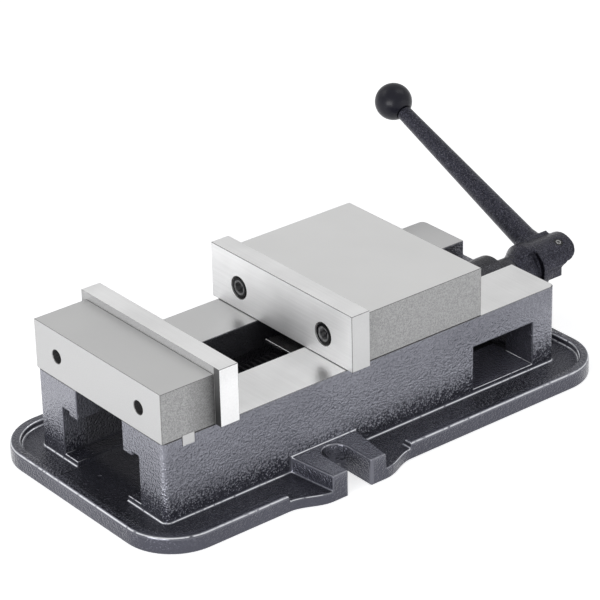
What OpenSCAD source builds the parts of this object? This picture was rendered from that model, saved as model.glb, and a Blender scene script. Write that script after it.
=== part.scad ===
// Angle-lock machine vise on a fixed cast base, at the opening of the photograph.
// X runs along the screw, with the handle at the +X end. Z is up.
// The origin lies on the underside, midway between the two hold-down slots.

/* [Bed] */
// Height of the ways above the underside
bed_h = 70.5; // [69:0.5:73]
// Length of the bed
bed_length = 360; // [354:1:372]
// Width of the bed
bed_w = 148; // [144:1:152]
// Distance from the hold-down slots to the bed's open end
bed_back = 138; // [134:1:144]
// Radius of the bed's upright corners
bed_corner_r = 4.5; // [3:0.5:7]
// Width of the slot between the ways
slot_w = 54; // [53:0.5:56]
// Thickness of the ways beside the slot
way_t = 23.5; // [22:0.5:24.5]
// How far the channel runs in under each way
channel_in = 18; // [17:0.5:19]
// Height of the ledges along the foot of the channel
ledge_h = 12.5; // [11:0.5:14]
// Width of the drain between the ledges
drain_w = 60; // [56:1:66]
// Thickness of the wall that holds the screw
end_wall_t = 15; // [12:1:16]
// How far that wall's top lies below the ways
end_wall_drop = 11.5; // [10:0.5:12.5]
// Length of the window in each side of the bed
window_l = 58.5; // [50:0.5:62]
// Distance from the window to the bed's screw end
window_end = 22; // [20:0.5:26]

/* [Flange] */
// Length of the flange
flange_l = 416; // [412:1:426]
// Width of the flange
flange_w = 209; // [204:1:216]
// How far the flange runs out past the bed's open end
flange_back = 26; // [22:1:30]
// Radius of the flange's corners
flange_corner_r = 40; // [34:1:44]
// Height of the rim round the flange
rim_h = 13; // [12:0.5:15]
// Width of the rim
rim_w = 8; // [6:0.5:9]
// Height of the trough's floor above the underside
trough_h = 8.5; // [7.5:0.5:10]

/* [Lugs] */
// Width over the two lugs
lug_span = 228; // [222:1:236]
// Height of a lug
lug_h = 20.5; // [18:0.5:23]
// Length of a lug where it meets the bed
lug_root_l = 59; // [54:1:64]
// Length of a lug at its outer face
lug_tip_length = 48; // [44:1:52]
// Length over which the flange swells out to a lug
swell_l = 110; // [110:1:124]
// Length of the gap in the rim beside a lug
notch_l = 110; // [102:1:110]
// Width of a hold-down slot
bolt_slot_w = 20; // [17:0.5:21]
// Distance from the middle of the bed to the round end's centre of a hold-down slot
bolt_slot_y = 88; // [86:0.5:92]
// Width of the key groove across the underside
key_groove_w = 16; // [14:0.5:18]
// Depth of the key groove
key_groove_d = 4; // [3:0.5:5]

/* [Jaws] */
// Width of the jaw plates
plate_w = 160; // [154:1:170]
// Thickness of the jaw plates
plate_t = 16; // [15:0.5:18]
// Height of the jaw plates
plate_h = 44; // [42:0.5:48]
// Opening between the jaw plates at rest
opening = 99.5; // [92:0.5:104]
// Height of the jaws above the ways
jaw_h = 38.5; // [37:0.5:41]
// Length of the fixed jaw
fixed_jaw_l = 45; // [42:1:48]
// Length of the moving jaw
moving_jaw_l = 110; // [106:1:114]
// Spread of the plate screws
plate_screw_spread = 96; // [90:1:104]
// Height of the plate screws above the ways
plate_screw_z = 18.5; // [17:0.5:21]
// Width of the keys under the fixed jaw
jaw_key_w = 10; // [8:0.5:12]
// Height of those keys
jaw_key_h = 8; // [7:0.5:9]
// How much of a key stands up into the jaw
jaw_key_up = 1.5; // [1:0.25:2]
// Distance from the bed's open end to the keys
jaw_key_x = 17; // [15:0.5:20]
// Distance from the slot to the bolts that hold the fixed jaw from below
jaw_bolt_in = 9; // [8.75:0.25:9.25]
// Distance from the bed's open end to those bolts
jaw_bolt_x = 34; // [32:0.5:35]

/* [Nut] */
// Length of the nut
nut_l = 60; // [56:1:62]
// Gap at each side of the nut in the channel
nut_gap = 2; // [1.5:0.5:4]
// Depth of the nut's underside below the screw's axis
nut_under = 21.5; // [19:0.5:24]
// Gap at each side of the nut's post in the slot
post_gap = 2; // [1:0.5:4]
// Length of the post's top
post_l = 42; // [40:1:44]
// How far the nut's post rises above the ways
post_rise = 24; // [22:0.5:25]
// Distance from the moving jaw's front to the nut
nut_x = 29.5; // [28:0.5:31]
// Radius of the half ball between the nut and the jaw
half_ball_r = 10.5; // [9.5:0.25:11]
// Diameter of the set screw at the back of the jaw
jaw_set_d = 12; // [10:0.5:14]
// Width of the guard over the screw
guard_w = 29; // [26:0.5:32]
// Thickness of the guard
guard_t = 2.5; // [2:0.25:3]
// Depth of the guard's top below the ways
guard_drop = 9; // [8:0.5:9.5]
// How far the guard reaches out past the moving plate
guard_out = 3; // [0:0.5:6]

/* [Screw] */
// Depth of the screw's axis below the ways
screw_drop = 27; // [26.5:0.25:28]
// Diameter of the thread
screw_d = 24; // [22:0.5:25]
// Diameter of the journal in the housing
journal_d = 20; // [18.5:0.5:20.5]
// Width across the flats of the hexagon that takes the handle
hex_af = 17; // [15:0.25:17]
// Length of that hexagon
hex_l = 46; // [42:1:48]
// Diameter of the shoulder that pushes on the thrust bearing
shoulder_d = 34; // [30:1:36]
// Length of the shoulder
shoulder_l = 8; // [6:0.5:9]
// Thickness of a thrust washer
washer_t = 2; // [1.5:0.25:2.5]
// Thickness of the needle cage
cage_t = 3; // [2.5:0.25:4]
// Number of needles in the cage
needle_count = 18; // [12:1:20]
// Diameter of the bearing housing
housing_d = 43; // [40:0.5:44]
// Thickness of the housing's plate inside the end wall
housing_plate_t = 8; // [7:0.5:9]
// How far the housing stands out of the bed's end
housing_out = 8; // [6:0.5:10]
// Diameter of the locking collar
collar_d = 28; // [26.5:0.5:32]
// Length of the locking collar
collar_l = 14; // [12:0.5:15]

/* [Handle] */
// Diameter of the hub
hub_d = 37; // [35:0.5:40]
// Length of the hub
hub_l = 35.5; // [33:0.5:37]
// Diameter of the hub's neck
neck_d = 28; // [26:0.5:30]
// Length of the hub's neck
neck_l = 20; // [18:0.5:22]
// Distance from the screw's axis to the middle of the ball
arm_l = 195; // [170:1:220]
// Angle of the arm above the level
arm_angle = 22.8; // [10:0.1:60]
// Diameter of the arm where it leaves the hub
arm_root_d = 20; // [18:0.5:21]
// Diameter of the arm under the ball
arm_tip_d = 12.4; // [11:0.2:14]
// Diameter of the ball
ball_d = 30; // [27:0.5:36]
// Diameter of the threaded spigot in the ball
spigot_d = 8; // [6:0.5:10]
// Diameter of the spring plunger
plunger_d = 7; // [6:0.5:8]

/* [Fits] */
// Gap round a turning or threaded piece
run_gap = 0.05; // [0.03:0.01:0.08]
// Gap between faces that slide past each other
slide_gap = 0.3; // [0.2:0.05:0.4]
// Gap round the hexagon in the handle
hex_gap = 0.1; // [0.05:0.05:0.2]
// Curve smoothness
$fn = 64; // [48:8:96]

/* [Hidden] */

// How far a cut runs past the face it goes through
over = 1;

// Ends of the bed and of the flange
bed_x0 = -bed_back;
bed_x1 = bed_x0 + bed_length;
flange_x0 = bed_x0 - flange_back;
flange_x1 = flange_x0 + flange_l;
way_under = bed_h - way_t;
channel_w = slot_w + 2 * channel_in;

// Relief beside the undersides of the ways
relief_w = 8;
relief_h = 3;

// Window, end wall and drain hole
window_x1 = bed_x1 - window_end;
end_wall_x0 = bed_x1 - end_wall_t;
end_wall_top = bed_h - end_wall_drop;
drain_floor_share = 0.94;
drain_floor = drain_floor_share * trough_h;
drain_hole_d = 4;
drain_hole_x = 4;
drain_hole_y = 10;

// Jaws
fixed_plate_x = bed_x0 + fixed_jaw_l;
fixed_face_x = fixed_plate_x + plate_t;
moving_face_x = fixed_face_x + opening;
moving_jaw_x = moving_face_x + plate_t;
moving_jaw_x1 = moving_jaw_x + moving_jaw_l;
jaw_top = bed_h + jaw_h;
jaw_bolt_y = slot_w / 2 + jaw_bolt_in;
plate_screw_level = bed_h + plate_screw_z;

// Cap screws: diameter, head diameter, head height, socket width, socket depth, length
plate_screw = [10, 16, 10, 8, 5, 30];
jaw_bolt = [10, 16, 10, 8, 5, 25];
housing_screw = [6, 10, 6, 5, 3, 18];
bolt_seat = 0.2;
head_gap_share = 0.04;
jaw_bolt_sink = jaw_bolt[2] + bolt_seat;
jaw_bolt_seat = way_under + jaw_bolt_sink;

// Screw axis and the places along it
axis_z = bed_h - screw_drop;
journal_r = journal_d / 2;
housing_plate_x0 = end_wall_x0 - housing_plate_t;
front_washer_x = housing_plate_x0 - washer_t;
cage_x = front_washer_x - cage_t;
rear_washer_x = cage_x - washer_t;
shoulder_x = rear_washer_x - shoulder_l;
housing_x1 = bed_x1 + housing_out;
housing_chamfer = 3;
housing_plate_w = 52;
housing_screw_y = 19.5;
housing_screw_z = 24;
collar_x = housing_x1 + slide_gap;
hex_x = collar_x + collar_l + slide_gap;
hex_x1 = hex_x + hex_l;
hex_r = hex_af / 2 / cos(30);
// The hexagon is turned so that a flat of it meets the plunger in the handle
hex_turn = arm_angle - 30;
thread_end_share = 0.56;
screw_end_x = fixed_face_x + opening * thread_end_share;
screw_chamfer = 2;
collar_screw_d = 5;

// Nut and what rides on it
nut_w = channel_w - 2 * nut_gap;
post_w = slot_w - 2 * post_gap;
nut_x0 = moving_jaw_x + nut_x;
nut_x1 = nut_x0 + nut_l;
nut_z0 = axis_z - nut_under;
nut_foot_share = 0.1;
nut_post_x1 = nut_x1 - nut_foot_share * nut_l;
nut_post_x0 = nut_post_x1 - post_l;
post_top = bed_h + post_rise;
pad_top = bed_h - guard_drop - guard_t;
ramp_top_share = 0.17;
ramp_run_share = 0.66;
ramp_top = post_top - ramp_top_share * post_rise;
ramp_run = ramp_run_share * post_rise;
ramp_mid = [nut_post_x0 + ramp_run / 2, 0, ramp_top - ramp_run / 2];
pocket_gap = 1.5;
pocket_w = post_w + 2 * slide_gap;
pocket_top = post_top + pocket_gap;
jaw_set_share = 0.56;
jaw_set_z = bed_h + jaw_set_share * post_rise;
jaw_set_socket = 6;
jaw_set_socket_d = 7;
guard_x0 = moving_face_x - guard_out;
guard_x1 = nut_post_x0 + ramp_run - slide_gap;
guard_screw_share = 0.15;
guard_pitch_share = 0.2;
guard_screw_x = nut_x0 + guard_screw_share * nut_l;
guard_screw_pitch = guard_pitch_share * nut_l;
guard_tap_left = 0.7;
guard_tap = pad_top - axis_z - screw_d / 2 - guard_tap_left;
guard_screw = [5, 8.5, 2, 3, 1, guard_t + guard_tap];

// Handle, in its own frame: the arm runs along +Z and the screw's axis is X
neck_x = hex_x + slide_gap;
hub_x = neck_x + neck_l;
hub_x1 = hub_x + hub_l;
arm_place_share = 0.517;
arm_x = hub_x + arm_place_share * hub_l;
arm_tilt = 90 - arm_angle;
hub_r = hub_d / 2;
ball_seat_share = 0.45;
arm_end = arm_l - ball_seat_share * ball_d;
boss_w = 22;
boss_t = 24;
web_rise = 1.7;
web_r = hub_r + web_rise;
web_start_share = 0.22;
web_full_share = 0.72;
web_x = neck_x + web_start_share * neck_l;
web_flat_x = neck_x + web_full_share * neck_l;
lobe_corner_r = 12;
lobe_foot = 4;
cut_in = 29;
cut_drop = 7;
step_top = 3;
step_d = 0.8;
spigot_out = 4;
plunger_place_share = 0.68;
plunger_x = hub_x + plunger_place_share * hub_l;
plunger_set_back = 0.6;
plunger_base = hex_af / 2 + hex_gap + plunger_set_back;
plunger_ball_share = 0.32;
plunger_ball_r = plunger_ball_share * plunger_d;
plunger_bore_r = plunger_ball_r + run_gap;
plunger_plug_l = 2.4;
plunger_sink = 0.4;
plunger_top = hub_r - plunger_sink;
plunger_travel_gap = 0.6;
socket_share = 0.5;
ball_seat = 0.3;

// A plate with round corners, from x0 to x1 and z0 to z1
module rounded_plate(x0, x1, w, z0, z1, r)
    translate([0, 0, z0]) linear_extrude(z1 - z0) {
        translate([x0 + r, -w / 2]) square([x1 - x0 - 2 * r, w]);
        translate([x0, -w / 2 + r]) square([x1 - x0, w - 2 * r]);
        for (x = [x0 + r, x1 - r], y = [-w / 2 + r, w / 2 - r]) translate([x, y]) circle(r);
    }

// A block that is centred across the vise
module block(x0, x1, w, z0, z1)
    translate([x0, -w / 2, z0]) cube([x1 - x0, w, z1 - z0]);

// A round bar along X, on the screw's axis unless another height is given
module bar_x(x0, x1, r, y = 0, z = axis_z)
    translate([x0, y, z]) rotate([0, 90, 0]) cylinder(h = x1 - x0, r = r);

// A cone along X on the screw's axis
module cone_x(x0, x1, r0, r1)
    translate([x0, 0, axis_z]) rotate([0, 90, 0]) cylinder(h = x1 - x0, r1 = r0, r2 = r1);

// A hexagonal bar along X on the screw's axis
module hex_x_bar(x0, x1, af)
    translate([x0, 0, axis_z]) rotate([hex_turn, 0, 0]) rotate([0, 90, 0])
        cylinder(h = x1 - x0, r = af / 2 / cos(30), $fn = 6);

// A cap screw: its head's seat at z = 0, its shank down, its head up
module cap_screw(s)
    difference() {
        union() {
            cylinder(h = s[2], r = s[1] / 2);
            translate([0, 0, -s[5]]) cylinder(h = s[5] + s[2] / 2, r = s[0] / 2);
        }
        translate([0, 0, s[2] - s[4]]) cylinder(h = s[4] + over, r = s[3] / 2 / cos(30), $fn = 6);
    }

// A screw's hole: seat at z = 0, counterbore above, shank below
module screw_hole(s, up)
    union() {
        translate([0, 0, -s[5] - over]) cylinder(h = s[5] + 2 * over, r = s[0] / 2 + run_gap);
        cylinder(h = up, r = s[1] / 2 + head_gap_share * s[1]);
    }

// Mirrored copies at both sides of the vise
module both_sides() {
    children();
    mirror([0, 1, 0]) children();
}

// The flange swells out to carry a lug. Seen from above, its edge falls off beside the ears like half a wave
swell_steps = 10;
swell_depth = (lug_span - flange_w) / 2;
swell_run = (swell_l - lug_tip_length) / 2;
swell_side = [for (i = [0:swell_steps]) [lug_tip_length / 2 + swell_run * i / swell_steps,
    flange_w / 2 + swell_depth * (1 + cos(180 * i / swell_steps)) / 2]];

module lug_swell()
    linear_extrude(trough_h)
        polygon(concat(swell_side, [[swell_l / 2, bed_w / 2 - over], [-swell_l / 2, bed_w / 2 - over]],
            [for (i = [swell_steps:-1:0]) [-swell_side[i][0], swell_side[i][1]]]));

module lug_ears()
    linear_extrude(lug_h)
        polygon([[-lug_root_l / 2, bed_w / 2 - over], [-lug_tip_length / 2, lug_span / 2],
            [lug_tip_length / 2, lug_span / 2], [lug_root_l / 2, bed_w / 2 - over]]);

module bolt_slot()
    translate([0, 0, -over]) {
        translate([0, bolt_slot_y]) cylinder(h = lug_h + 2 * over, r = bolt_slot_w / 2);
        translate([-bolt_slot_w / 2, bolt_slot_y, 0])
            cube([bolt_slot_w, lug_span / 2 - bolt_slot_y + over, lug_h + 2 * over]);
    }

module flange()
    difference() {
        rounded_plate(flange_x0, flange_x1, flange_w, 0, rim_h, flange_corner_r);
        rounded_plate(flange_x0 + rim_w, flange_x1 - rim_w, flange_w - 2 * rim_w,
            trough_h, rim_h + over, flange_corner_r - rim_w);
        block(-notch_l / 2, notch_l / 2, flange_w + 2 * over, trough_h, rim_h + over);
    }

module base_casting()
    color([0.24, 0.24, 0.28]) difference() {
        union() {
            flange();
            rounded_plate(bed_x0, bed_x1, bed_w, 0, bed_h, bed_corner_r);
            both_sides() {
                lug_swell();
                lug_ears();
            }
        }
        // The slot between the ways, the channel under them and the drain in its floor
        block(bed_x0 - over, end_wall_x0, slot_w, ledge_h, bed_h + over);
        block(bed_x0 - over, end_wall_x0, channel_w, ledge_h, way_under);
        both_sides() translate([bed_x0 - over, channel_w / 2 - relief_w, way_under - over])
            cube([end_wall_x0 - bed_x0 + over, relief_w, relief_h + over]);
        block(bed_x0 - flange_back + rim_w, end_wall_x0, drain_w, drain_floor, ledge_h + over);
        // The low wall at the screw end, with the bore that takes the housing
        block(end_wall_x0 - over, bed_x1 + over, slot_w, end_wall_top, bed_h + over);
        bar_x(end_wall_x0 - over, bed_x1 + over, housing_d / 2 + run_gap);
        for (y = [-housing_screw_y, housing_screw_y])
            bar_x(housing_plate_x0, housing_plate_x0 + housing_screw[5] + over, housing_screw[0] / 2 + run_gap,
                y, housing_screw_z);
        both_sides() translate([window_x1 - window_l, channel_w / 2 - over, ledge_h])
            cube([window_l, (bed_w - channel_w) / 2 + 2 * over, way_under - ledge_h]);
        both_sides() bolt_slot();
        block(-key_groove_w / 2, key_groove_w / 2, lug_span + 2 * over, -over, key_groove_d);
        translate([bed_x0 + drain_hole_x, drain_hole_y, -over])
            cylinder(h = trough_h + 2 * over, r = drain_hole_d / 2);
        // The keys' seats and the bolts that come up through the ways into the fixed jaw
        jaw_key_space();
        jaw_bolt_places() screw_hole(jaw_bolt, jaw_bolt_sink + over);
    }

// The jaw's bolts: their seats lie above the undersides of the ways, their heads point down
module jaw_bolt_places()
    both_sides() translate([bed_x0 + jaw_bolt_x, jaw_bolt_y, jaw_bolt_seat]) rotate([180, 0, 0])
        children();

module jaw_key_space()
    both_sides() translate([bed_x0 + jaw_key_x, slot_w / 2, bed_h + jaw_key_up - jaw_key_h])
        cube([jaw_key_w, (bed_w - slot_w) / 2 + over, jaw_key_h]);

module fixed_jaw_keys()
    color([0.82, 0.82, 0.82]) both_sides()
        translate([bed_x0 + jaw_key_x, slot_w / 2, bed_h + jaw_key_up - jaw_key_h])
            cube([jaw_key_w, (bed_w - slot_w) / 2, jaw_key_h]);

module fixed_jaw_bolts()
    color([0.16, 0.16, 0.17]) jaw_bolt_places() cap_screw(jaw_bolt);

// The screws that hold a jaw plate: seat plane at x, heads towards dir
module plate_screw_places(x, dir)
    for (y = [-plate_screw_spread / 2, plate_screw_spread / 2])
        translate([x, y, plate_screw_level]) rotate([0, 90 * dir, 0]) children();

plate_seat_depth = plate_screw[2] + bolt_seat;
fixed_seat_x = fixed_face_x - plate_seat_depth;
moving_seat_x = moving_face_x + plate_seat_depth;

module fixed_jaw()
    color([0.78, 0.78, 0.77]) difference() {
        block(bed_x0, fixed_plate_x, bed_w, bed_h, jaw_top);
        jaw_key_space();
        for (y = [-plate_screw_spread / 2, plate_screw_spread / 2])
            bar_x(bed_x0 - over, fixed_plate_x + over, plate_screw[0] / 2 + run_gap, y, plate_screw_level);
        jaw_bolt_places() screw_hole(jaw_bolt, over);
    }

module fixed_jaw_plate()
    color([0.88, 0.88, 0.87]) difference() {
        block(fixed_plate_x, fixed_face_x, plate_w, bed_h, bed_h + plate_h);
        plate_screw_places(fixed_seat_x, 1) screw_hole(plate_screw, plate_seat_depth + over);
    }

module fixed_plate_screws()
    color([0.12, 0.12, 0.13]) plate_screw_places(fixed_seat_x, 1) cap_screw(plate_screw);

module moving_jaw_plate()
    color([0.88, 0.88, 0.87]) difference() {
        block(moving_face_x, moving_jaw_x, plate_w, bed_h + slide_gap, bed_h + plate_h);
        plate_screw_places(moving_seat_x, -1) screw_hole(plate_screw, plate_seat_depth + over);
    }

module moving_plate_screws()
    color([0.12, 0.12, 0.13]) plate_screw_places(moving_seat_x, -1) cap_screw(plate_screw);

// The nut's post from the side, from the pad up; its ramp leans out over the half ball
function post_outline(gap) = [
    [nut_post_x1 + gap, way_under - over],
    [nut_post_x1 + gap, post_top + gap],
    [nut_post_x0 - gap, post_top + gap],
    [nut_post_x0 - gap, ramp_top - gap],
    [nut_post_x0 + ramp_run - gap, ramp_top - ramp_run - gap],
    [nut_post_x0 + ramp_run - gap, way_under - over]];

module post_shape(w, gap)
    translate([0, w / 2, 0]) rotate([90, 0, 0]) linear_extrude(w) polygon(post_outline(gap));

module moving_jaw()
    color([0.78, 0.78, 0.77]) difference() {
        block(moving_jaw_x, moving_jaw_x1, bed_w, bed_h, jaw_top);
        post_shape(pocket_w, pocket_gap);
        translate(ramp_mid) sphere(half_ball_r + run_gap);
        bar_x(nut_post_x1, moving_jaw_x1 + over, jaw_set_d / 2 + run_gap, 0, jaw_set_z);
        plate_screw_places(moving_seat_x, -1) screw_hole(plate_screw, over);
    }

module jaw_nut()
    color([0.30, 0.30, 0.32]) difference() {
        union() {
            block(nut_x0, nut_x1, nut_w, nut_z0, way_under - slide_gap);
            block(nut_x0, nut_post_x1, post_w, nut_z0, pad_top);
            post_shape(post_w, 0);
        }
        bar_x(nut_x0 - over, nut_x1 + over, screw_d / 2 + run_gap);
        guard_screw_places() translate([0, 0, -guard_screw[5] - guard_tap_left - over])
            cylinder(h = guard_screw[5] + guard_tap_left + 2 * over, r = guard_screw[0] / 2 + run_gap);
    }

// Half of a ball: its round side lies in the jaw, its flat side on the nut's ramp
module lock_half_ball()
    color([0.60, 0.60, 0.62]) intersection() {
        translate(ramp_mid) sphere(half_ball_r);
        translate(ramp_mid) rotate([0, -45, 0])
            translate([-2 * half_ball_r, -half_ball_r, -half_ball_r])
                cube([2 * half_ball_r, 2 * half_ball_r, 2 * half_ball_r]);
    }

module jaw_set_screw()
    color([0.14, 0.14, 0.15]) difference() {
        bar_x(nut_post_x1, moving_jaw_x1 - bolt_seat, jaw_set_d / 2, 0, jaw_set_z);
        translate([moving_jaw_x1 - jaw_set_socket, 0, jaw_set_z]) rotate([0, 90, 0])
            cylinder(h = jaw_set_socket + over, r = jaw_set_socket_d / 2, $fn = 6);
    }

module guard_screw_places()
    for (i = [0, 1]) translate([guard_screw_x + i * guard_screw_pitch, 0, pad_top + guard_t]) children();

module screw_guard()
    color([0.70, 0.70, 0.70]) difference() {
        block(guard_x0, guard_x1, guard_w, pad_top, pad_top + guard_t);
        guard_screw_places() translate([0, 0, -guard_t - over])
            cylinder(h = guard_t + 2 * over, r = guard_screw[0] / 2 + run_gap);
    }

module guard_screws()
    color([0.14, 0.14, 0.15]) guard_screw_places() difference() {
        union() {
            cylinder(h = guard_screw[2], r = guard_screw[1] / 2);
            translate([0, 0, -guard_screw[5]])
                cylinder(h = guard_screw[5] + guard_screw[2] / 2, r = guard_screw[0] / 2);
        }
        translate([0, 0, guard_screw[2] - guard_screw[4]])
            cylinder(h = guard_screw[4] + over, r = guard_screw[3] / 2 / cos(30), $fn = 6);
    }

module lead_screw()
    color([0.42, 0.42, 0.44]) union() {
        cone_x(screw_end_x, screw_end_x + screw_chamfer, screw_d / 2 - screw_chamfer, screw_d / 2);
        bar_x(screw_end_x + screw_chamfer, shoulder_x + over, screw_d / 2);
        bar_x(shoulder_x, rear_washer_x, shoulder_d / 2);
        bar_x(rear_washer_x - over, hex_x, journal_r);
        intersection() {
            hex_x_bar(hex_x - over, hex_x1, hex_af);
            cone_x(hex_x - over, hex_x1, hex_r + (hex_x1 - hex_x + over), hex_r - screw_chamfer / 2);
        }
    }

module thrust_ring(x, t)
    difference() {
        bar_x(x, x + t, shoulder_d / 2);
        bar_x(x - over, x + t + over, journal_r + run_gap);
    }

module rear_thrust_washer() color([0.74, 0.74, 0.75]) thrust_ring(rear_washer_x, washer_t);
module front_thrust_washer() color([0.74, 0.74, 0.75]) thrust_ring(front_washer_x, washer_t);

// The needles lie like spokes in the cage's windows
needle_share = 0.4;
needle_in_share = 0.26;
needle_out_share = 0.8;
needle_r = needle_share * cage_t;
needle_in = journal_r + needle_in_share * (shoulder_d / 2 - journal_r);
needle_out = journal_r + needle_out_share * (shoulder_d / 2 - journal_r);

module needle_places()
    for (i = [0:needle_count - 1])
        translate([cage_x + cage_t / 2, 0, axis_z]) rotate([360 * i / needle_count, 0, 0]) children();

module needle_cage()
    color([0.66, 0.60, 0.40]) difference() {
        thrust_ring(cage_x, cage_t);
        needle_places() translate([0, 0, needle_in - run_gap])
            cylinder(h = needle_out - needle_in + 2 * run_gap, r = needle_r + run_gap, $fn = 24);
    }

module thrust_needles()
    color([0.80, 0.80, 0.82]) needle_places()
        translate([0, 0, needle_in]) cylinder(h = needle_out - needle_in, r = needle_r, $fn = 24);

module bearing_housing()
    color([0.33, 0.33, 0.36]) difference() {
        union() {
            block(housing_plate_x0, end_wall_x0, housing_plate_w, housing_screw_z - housing_screw[1],
                end_wall_top - slide_gap);
            bar_x(housing_plate_x0, housing_x1 - housing_chamfer, housing_d / 2);
            cone_x(housing_x1 - housing_chamfer, housing_x1, housing_d / 2, housing_d / 2 - housing_chamfer);
        }
        bar_x(housing_plate_x0 - over, housing_x1 + over, journal_r + run_gap);
        for (y = [-housing_screw_y, housing_screw_y])
            bar_x(housing_plate_x0 - over, end_wall_x0 + over, housing_screw[0] / 2 + run_gap,
                y, housing_screw_z);
    }

module housing_screws()
    color([0.14, 0.14, 0.15]) for (y = [-housing_screw_y, housing_screw_y])
        translate([housing_plate_x0, y, housing_screw_z]) rotate([0, -90, 0]) cap_screw(housing_screw);

module locking_collar()
    color([0.38, 0.38, 0.41]) difference() {
        bar_x(collar_x, collar_x + collar_l, collar_d / 2);
        bar_x(collar_x - over, collar_x + collar_l + over, journal_r + run_gap);
        collar_screw_place() cylinder(h = collar_d, r = collar_screw_d / 2 + run_gap);
    }

module collar_screw_place()
    translate([collar_x + collar_l / 2, 0, axis_z]) rotate([180, 0, 0]) children();

module collar_set_screw()
    color([0.14, 0.14, 0.15]) collar_screw_place() difference() {
        translate([0, 0, journal_r + bolt_seat])
            cylinder(h = collar_d / 2 - journal_r - 2 * bolt_seat, r = collar_screw_d / 2);
        translate([0, 0, collar_d / 2 - collar_screw_d / 2])
            cylinder(h = collar_d, r = socket_share * collar_screw_d / 2 / cos(30), $fn = 6);
    }

// The handle's own frame: origin on the screw's axis at the arm, arm along +Z
module arm_frame()
    translate([arm_x, 0, axis_z]) rotate([-arm_tilt, 0, 0]) children();

module plunger_frame()
    translate([plunger_x, 0, axis_z]) rotate([90 - arm_tilt, 0, 0]) children();

module hub_body()
    difference() {
        bar_x(hub_x, hub_x1, hub_r);
        hub_end_cut();
        hub_step();
    }

// The near side slants back below the lobe that holds the plunger; the lobe's corner is round
module hub_end_cut()
    difference() {
        translate([0, 0, axis_z]) rotate([90, 0, 0]) linear_extrude(hub_d)
            polygon([[hub_x1 - cut_in, -hub_d], [hub_x1 - cut_in, -cut_drop],
                [hub_x1 - lobe_corner_r, lobe_foot], [hub_x1 - lobe_corner_r, lobe_foot + lobe_corner_r],
                [hub_x1 + over, lobe_foot + lobe_corner_r], [hub_x1 + over, -hub_d]]);
        translate([hub_x1 - lobe_corner_r, over, axis_z + lobe_foot + lobe_corner_r]) rotate([90, 0, 0])
            cylinder(h = hub_d + 2 * over, r = lobe_corner_r);
    }

// Below the lobe the near side is turned a little smaller
module hub_step()
    difference() {
        translate([hub_x - over, -hub_d, axis_z - hub_d]) cube([hub_l + 2 * over, hub_d, hub_d + step_top]);
        bar_x(hub_x - 2 * over, hub_x1 + 2 * over, hub_r - step_d);
    }

// The web that runs from the hub down to its neck, on the arm's side
module hub_web()
    intersection() {
        union() {
            cone_x(web_x, web_flat_x, neck_d / 2, web_r);
            bar_x(web_flat_x - over, hub_x + over, web_r);
        }
        translate([neck_x, -neck_d / 4, axis_z]) cube([neck_l + over, 2 * web_r, 2 * web_r]);
    }

module handle()
    color([0.32, 0.32, 0.35]) difference() {
        union() {
            bar_x(neck_x, hub_x + over, neck_d / 2);
            hub_body();
            hub_web();
            arm_frame() {
                cylinder(h = arm_end, r1 = arm_root_d / 2, r2 = arm_tip_d / 2);
                translate([-boss_w / 2, -boss_t / 2, 0]) cube([boss_w, boss_t, hub_r]);
                cylinder(h = arm_l + spigot_out, r = spigot_d / 2);
            }
        }
        hex_x_bar(neck_x - over, hub_x1 + over, hex_af + 2 * hex_gap);
        plunger_frame() translate([0, 0, hex_af / 2 - over]) cylinder(h = hub_d, r = plunger_d / 2 + run_gap);
    }

module ball_knob()
    color([0.13, 0.13, 0.15]) arm_frame() difference() {
        translate([0, 0, arm_l]) sphere(ball_d / 2);
        cylinder(h = arm_end + ball_seat / 2, r = arm_tip_d / 2 + ball_seat);
        cylinder(h = arm_l + spigot_out + bolt_seat, r = spigot_d / 2 + run_gap);
    }

plunger_mid = hex_af / 2 + run_gap + plunger_ball_r;

module plunger_sleeve()
    color([0.55, 0.55, 0.57]) plunger_frame() difference() {
        translate([0, 0, plunger_base]) cylinder(h = plunger_top - plunger_base, r = plunger_d / 2);
        translate([0, 0, plunger_base - over])
            cylinder(h = hub_d, r = plunger_bore_r);
    }

module plunger_ball()
    color([0.90, 0.90, 0.92]) plunger_frame() translate([0, 0, plunger_mid]) sphere(plunger_ball_r);

spring_z0 = plunger_mid + plunger_ball_r + plunger_travel_gap;
spring_z1 = plunger_top - plunger_plug_l;
spring_wire = 0.5;

module plunger_spring()
    color([0.70, 0.70, 0.72]) plunger_frame() translate([0, 0, spring_z0]) difference() {
        cylinder(h = spring_z1 - spring_z0, r = plunger_bore_r - 2 * run_gap);
        translate([0, 0, -over]) cylinder(h = hub_d, r = plunger_bore_r - 2 * run_gap - spring_wire);
    }

module plunger_plug()
    color([0.86, 0.86, 0.88]) plunger_frame() difference() {
        translate([0, 0, spring_z1]) cylinder(h = plunger_plug_l, r = plunger_bore_r - run_gap);
        translate([0, 0, plunger_top - plunger_plug_l / 2])
            cylinder(h = hub_d, r = socket_share * plunger_bore_r, $fn = 6);
    }

base_casting();
fixed_jaw();
fixed_jaw_keys();
fixed_jaw_bolts();
fixed_jaw_plate();
fixed_plate_screws();
moving_jaw();
moving_jaw_plate();
moving_plate_screws();
jaw_nut();
lock_half_ball();
jaw_set_screw();
screw_guard();
guard_screws();
lead_screw();
rear_thrust_washer();
needle_cage();
thrust_needles();
front_thrust_washer();
bearing_housing();
housing_screws();
locking_collar();
collar_set_screw();
handle();
ball_knob();
plunger_sleeve();
plunger_spring();
plunger_ball();
plunger_plug();
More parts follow.
